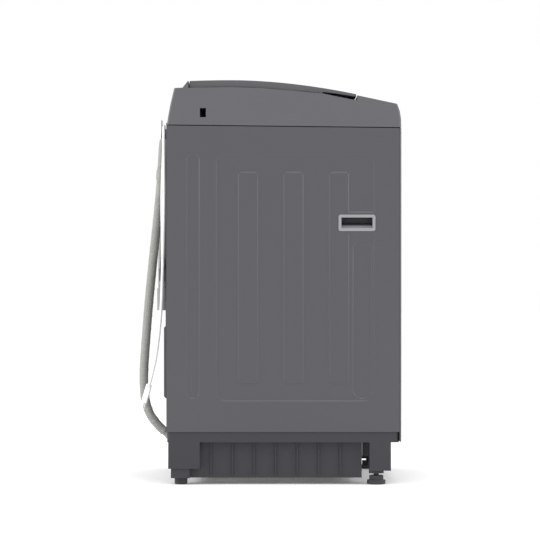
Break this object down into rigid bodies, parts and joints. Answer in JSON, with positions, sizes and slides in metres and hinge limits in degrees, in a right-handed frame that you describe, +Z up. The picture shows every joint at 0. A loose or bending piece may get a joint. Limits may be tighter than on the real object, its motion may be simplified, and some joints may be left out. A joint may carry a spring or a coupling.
{
  "type": "top load washing machine",
  "caption": "Free-standing top load washing machine with hinged lid, sprung tub, spin drum, pulsator, belt drive, drain hose and power cord.",
  "frame": {"origin": "middle of the cabinet's footprint on the floor", "axes": "+X to the machine's right side, -Y to the front, +Z up"},
  "size_m": [0.54, 0.5951, 0.91],
  "materials": {
    "cabinet_paint": "satin",
    "front_paint": "satin",
    "cover_plastic": "satin",
    "base_plastic": "satin",
    "lid_plastic": "satin",
    "lid_glass": "gloss",
    "fascia_plastic": "gloss",
    "button_plastic": "satin",
    "handle_plastic": "satin",
    "galvanised_steel": "satin",
    "stainless_drum": "satin",
    "tub_plastic": "satin",
    "white_plastic": "satin",
    "pulsator_plastic": "satin",
    "black_rubber": "matte",
    "grey_hose": "satin",
    "white_cord": "satin",
    "cast_metal": "satin",
    "shaft_steel": "polished",
    "circuit_board": "satin"
  },
  "bodies": {
    "cabinet": {"left_side_panel": "cabinet_paint", "right_side_panel": "cabinet_paint", "handle_cups": "handle_plastic", "front_panel": "front_paint", "rear_panel": "cabinet_paint", "rear_cover": "cabinet_paint", "rear_cover_screws": "galvanised_steel", "base_frame": "base_plastic", "drain_outlet": "base_plastic", "rear_feet": "black_rubber", "front_lock_nuts": "base_plastic", "corner_brackets": "galvanised_steel", "suspension_rods": "shaft_steel", "suspension_springs": "galvanised_steel", "inner_drain_hose": "black_rubber", "top_cover": "cover_plastic", "control_fascia": "fascia_plastic", "display_window": "fascia_plastic", "control_board": "circuit_board", "drawer_housing": "white_plastic", "inlet_valve": "white_plastic", "rear_hooks": "base_plastic", "cord_gland": "black_rubber", "drain_hose": "grey_hose", "hose_cuff": "grey_hose", "power_cord": "white_cord", "power_plug": "white_cord"},
    "lid": {"lid_frame": "lid_plastic", "lid_glass": "lid_glass", "lid_hinge_pins": "shaft_steel"},
    "tub_unit": {"outer_tub": "tub_plastic", "tub_ring": "tub_plastic", "tub_plate": "galvanised_steel", "gearbox_housing": "cast_metal", "shaft_bearings": "shaft_steel", "tub_seal": "black_rubber", "drive_belt": "black_rubber", "motor_body": "galvanised_steel", "pump_housing": "white_plastic", "suspension_cups": "white_plastic"},
    "drum": {"inner_drum": "stainless_drum", "drum_base": "cast_metal", "balance_ring": "tub_plastic", "spin_shaft": "shaft_steel", "lint_filters": "white_plastic"},
    "pulsator": {"pulsator": "pulsator_plastic", "pulsator_screw": "shaft_steel", "wash_shaft": "shaft_steel"},
    "clutch_pulley": {"clutch_pulley": "cast_metal"},
    "motor_rotor": {"motor_shaft": "shaft_steel", "motor_pulley": "cast_metal"},
    "pump_impeller": {"pump_impeller": "white_plastic"},
    "detergent_drawer": {"detergent_drawer": "white_plastic"},
    "front_foot_left": {"front_foot_left": "black_rubber"},
    "front_foot_right": {"front_foot_right": "black_rubber"},
    "programme_button": {"programme_button": "button_plastic"},
    "water_level_button": {"water_level_button": "button_plastic"},
    "spin_button": {"spin_button": "button_plastic"},
    "start_pause_button": {"start_pause_button": "button_plastic"},
    "power_button": {"power_button": "button_plastic"}
  },
  "joints": [
    {"name": "lid_hinge", "type": "hinge", "parent": "cabinet", "child": "lid", "pos_m": [0, 0.203, 0.9037], "axis": [-1, 0, 0], "range_deg": [0, 95]},
    {"name": "tub_bounce", "type": "slide", "parent": "cabinet", "child": "tub_unit", "axis": [0, 0, 1], "range_m": [-0.015, 0.015], "stiffness_N_per_m": 24000, "springref_m": 0.01147, "deforming": ["suspension_springs", "inner_drain_hose"]},
    {"name": "drum_spin", "type": "hinge", "parent": "tub_unit", "child": "drum", "pos_m": [0, -0.00575, 0.25], "axis": [0, 0, 1], "continuous": true},
    {"name": "pulsator_spin", "type": "hinge", "parent": "tub_unit", "child": "pulsator", "pos_m": [0, -0.00575, 0.25], "axis": [0, 0, 1], "continuous": true},
    {"name": "clutch_pulley_spin", "type": "hinge", "parent": "tub_unit", "child": "clutch_pulley", "pos_m": [0, -0.00575, 0.076], "axis": [0, 0, 1], "continuous": true},
    {"name": "motor_spin", "type": "hinge", "parent": "tub_unit", "child": "motor_rotor", "pos_m": [0.075, -0.11193, 0.076], "axis": [0, 0, 1], "continuous": true},
    {"name": "pump_spin", "type": "hinge", "parent": "tub_unit", "child": "pump_impeller", "pos_m": [-0.15, 0.088, 0.12], "axis": [0, 0, 1], "continuous": true},
    {"name": "drawer_slide", "type": "slide", "parent": "cabinet", "child": "detergent_drawer", "axis": [0, -1, 0], "range_m": [0, 0.065]},
    {"name": "foot_left_adjust", "type": "slide", "parent": "cabinet", "child": "front_foot_left", "axis": [0, 0, -1], "range_m": [0, 0.01]},
    {"name": "foot_right_adjust", "type": "slide", "parent": "cabinet", "child": "front_foot_right", "axis": [0, 0, -1], "range_m": [0, 0.01]},
    {"name": "programme_press", "type": "slide", "parent": "cabinet", "child": "programme_button", "axis": [0, 0.2083, -0.9781], "range_m": [0, 0.0015], "stiffness_N_per_m": 900, "springref_m": -0.0006},
    {"name": "water_level_press", "type": "slide", "parent": "cabinet", "child": "water_level_button", "axis": [0, 0.2083, -0.9781], "range_m": [0, 0.0015], "stiffness_N_per_m": 900, "springref_m": -0.0006},
    {"name": "spin_press", "type": "slide", "parent": "cabinet", "child": "spin_button", "axis": [0, 0.2083, -0.9781], "range_m": [0, 0.0015], "stiffness_N_per_m": 900, "springref_m": -0.0006},
    {"name": "start_pause_press", "type": "slide", "parent": "cabinet", "child": "start_pause_button", "axis": [0, 0.2083, -0.9781], "range_m": [0, 0.0015], "stiffness_N_per_m": 900, "springref_m": -0.0006},
    {"name": "power_press", "type": "slide", "parent": "cabinet", "child": "power_button", "axis": [0, 0.2083, -0.9781], "range_m": [0, 0.0015], "stiffness_N_per_m": 900, "springref_m": -0.0006}
  ],
  "couplings": [
    {"joint": "motor_spin", "follows": "clutch_pulley_spin", "ratio": 3.625}
  ]
}
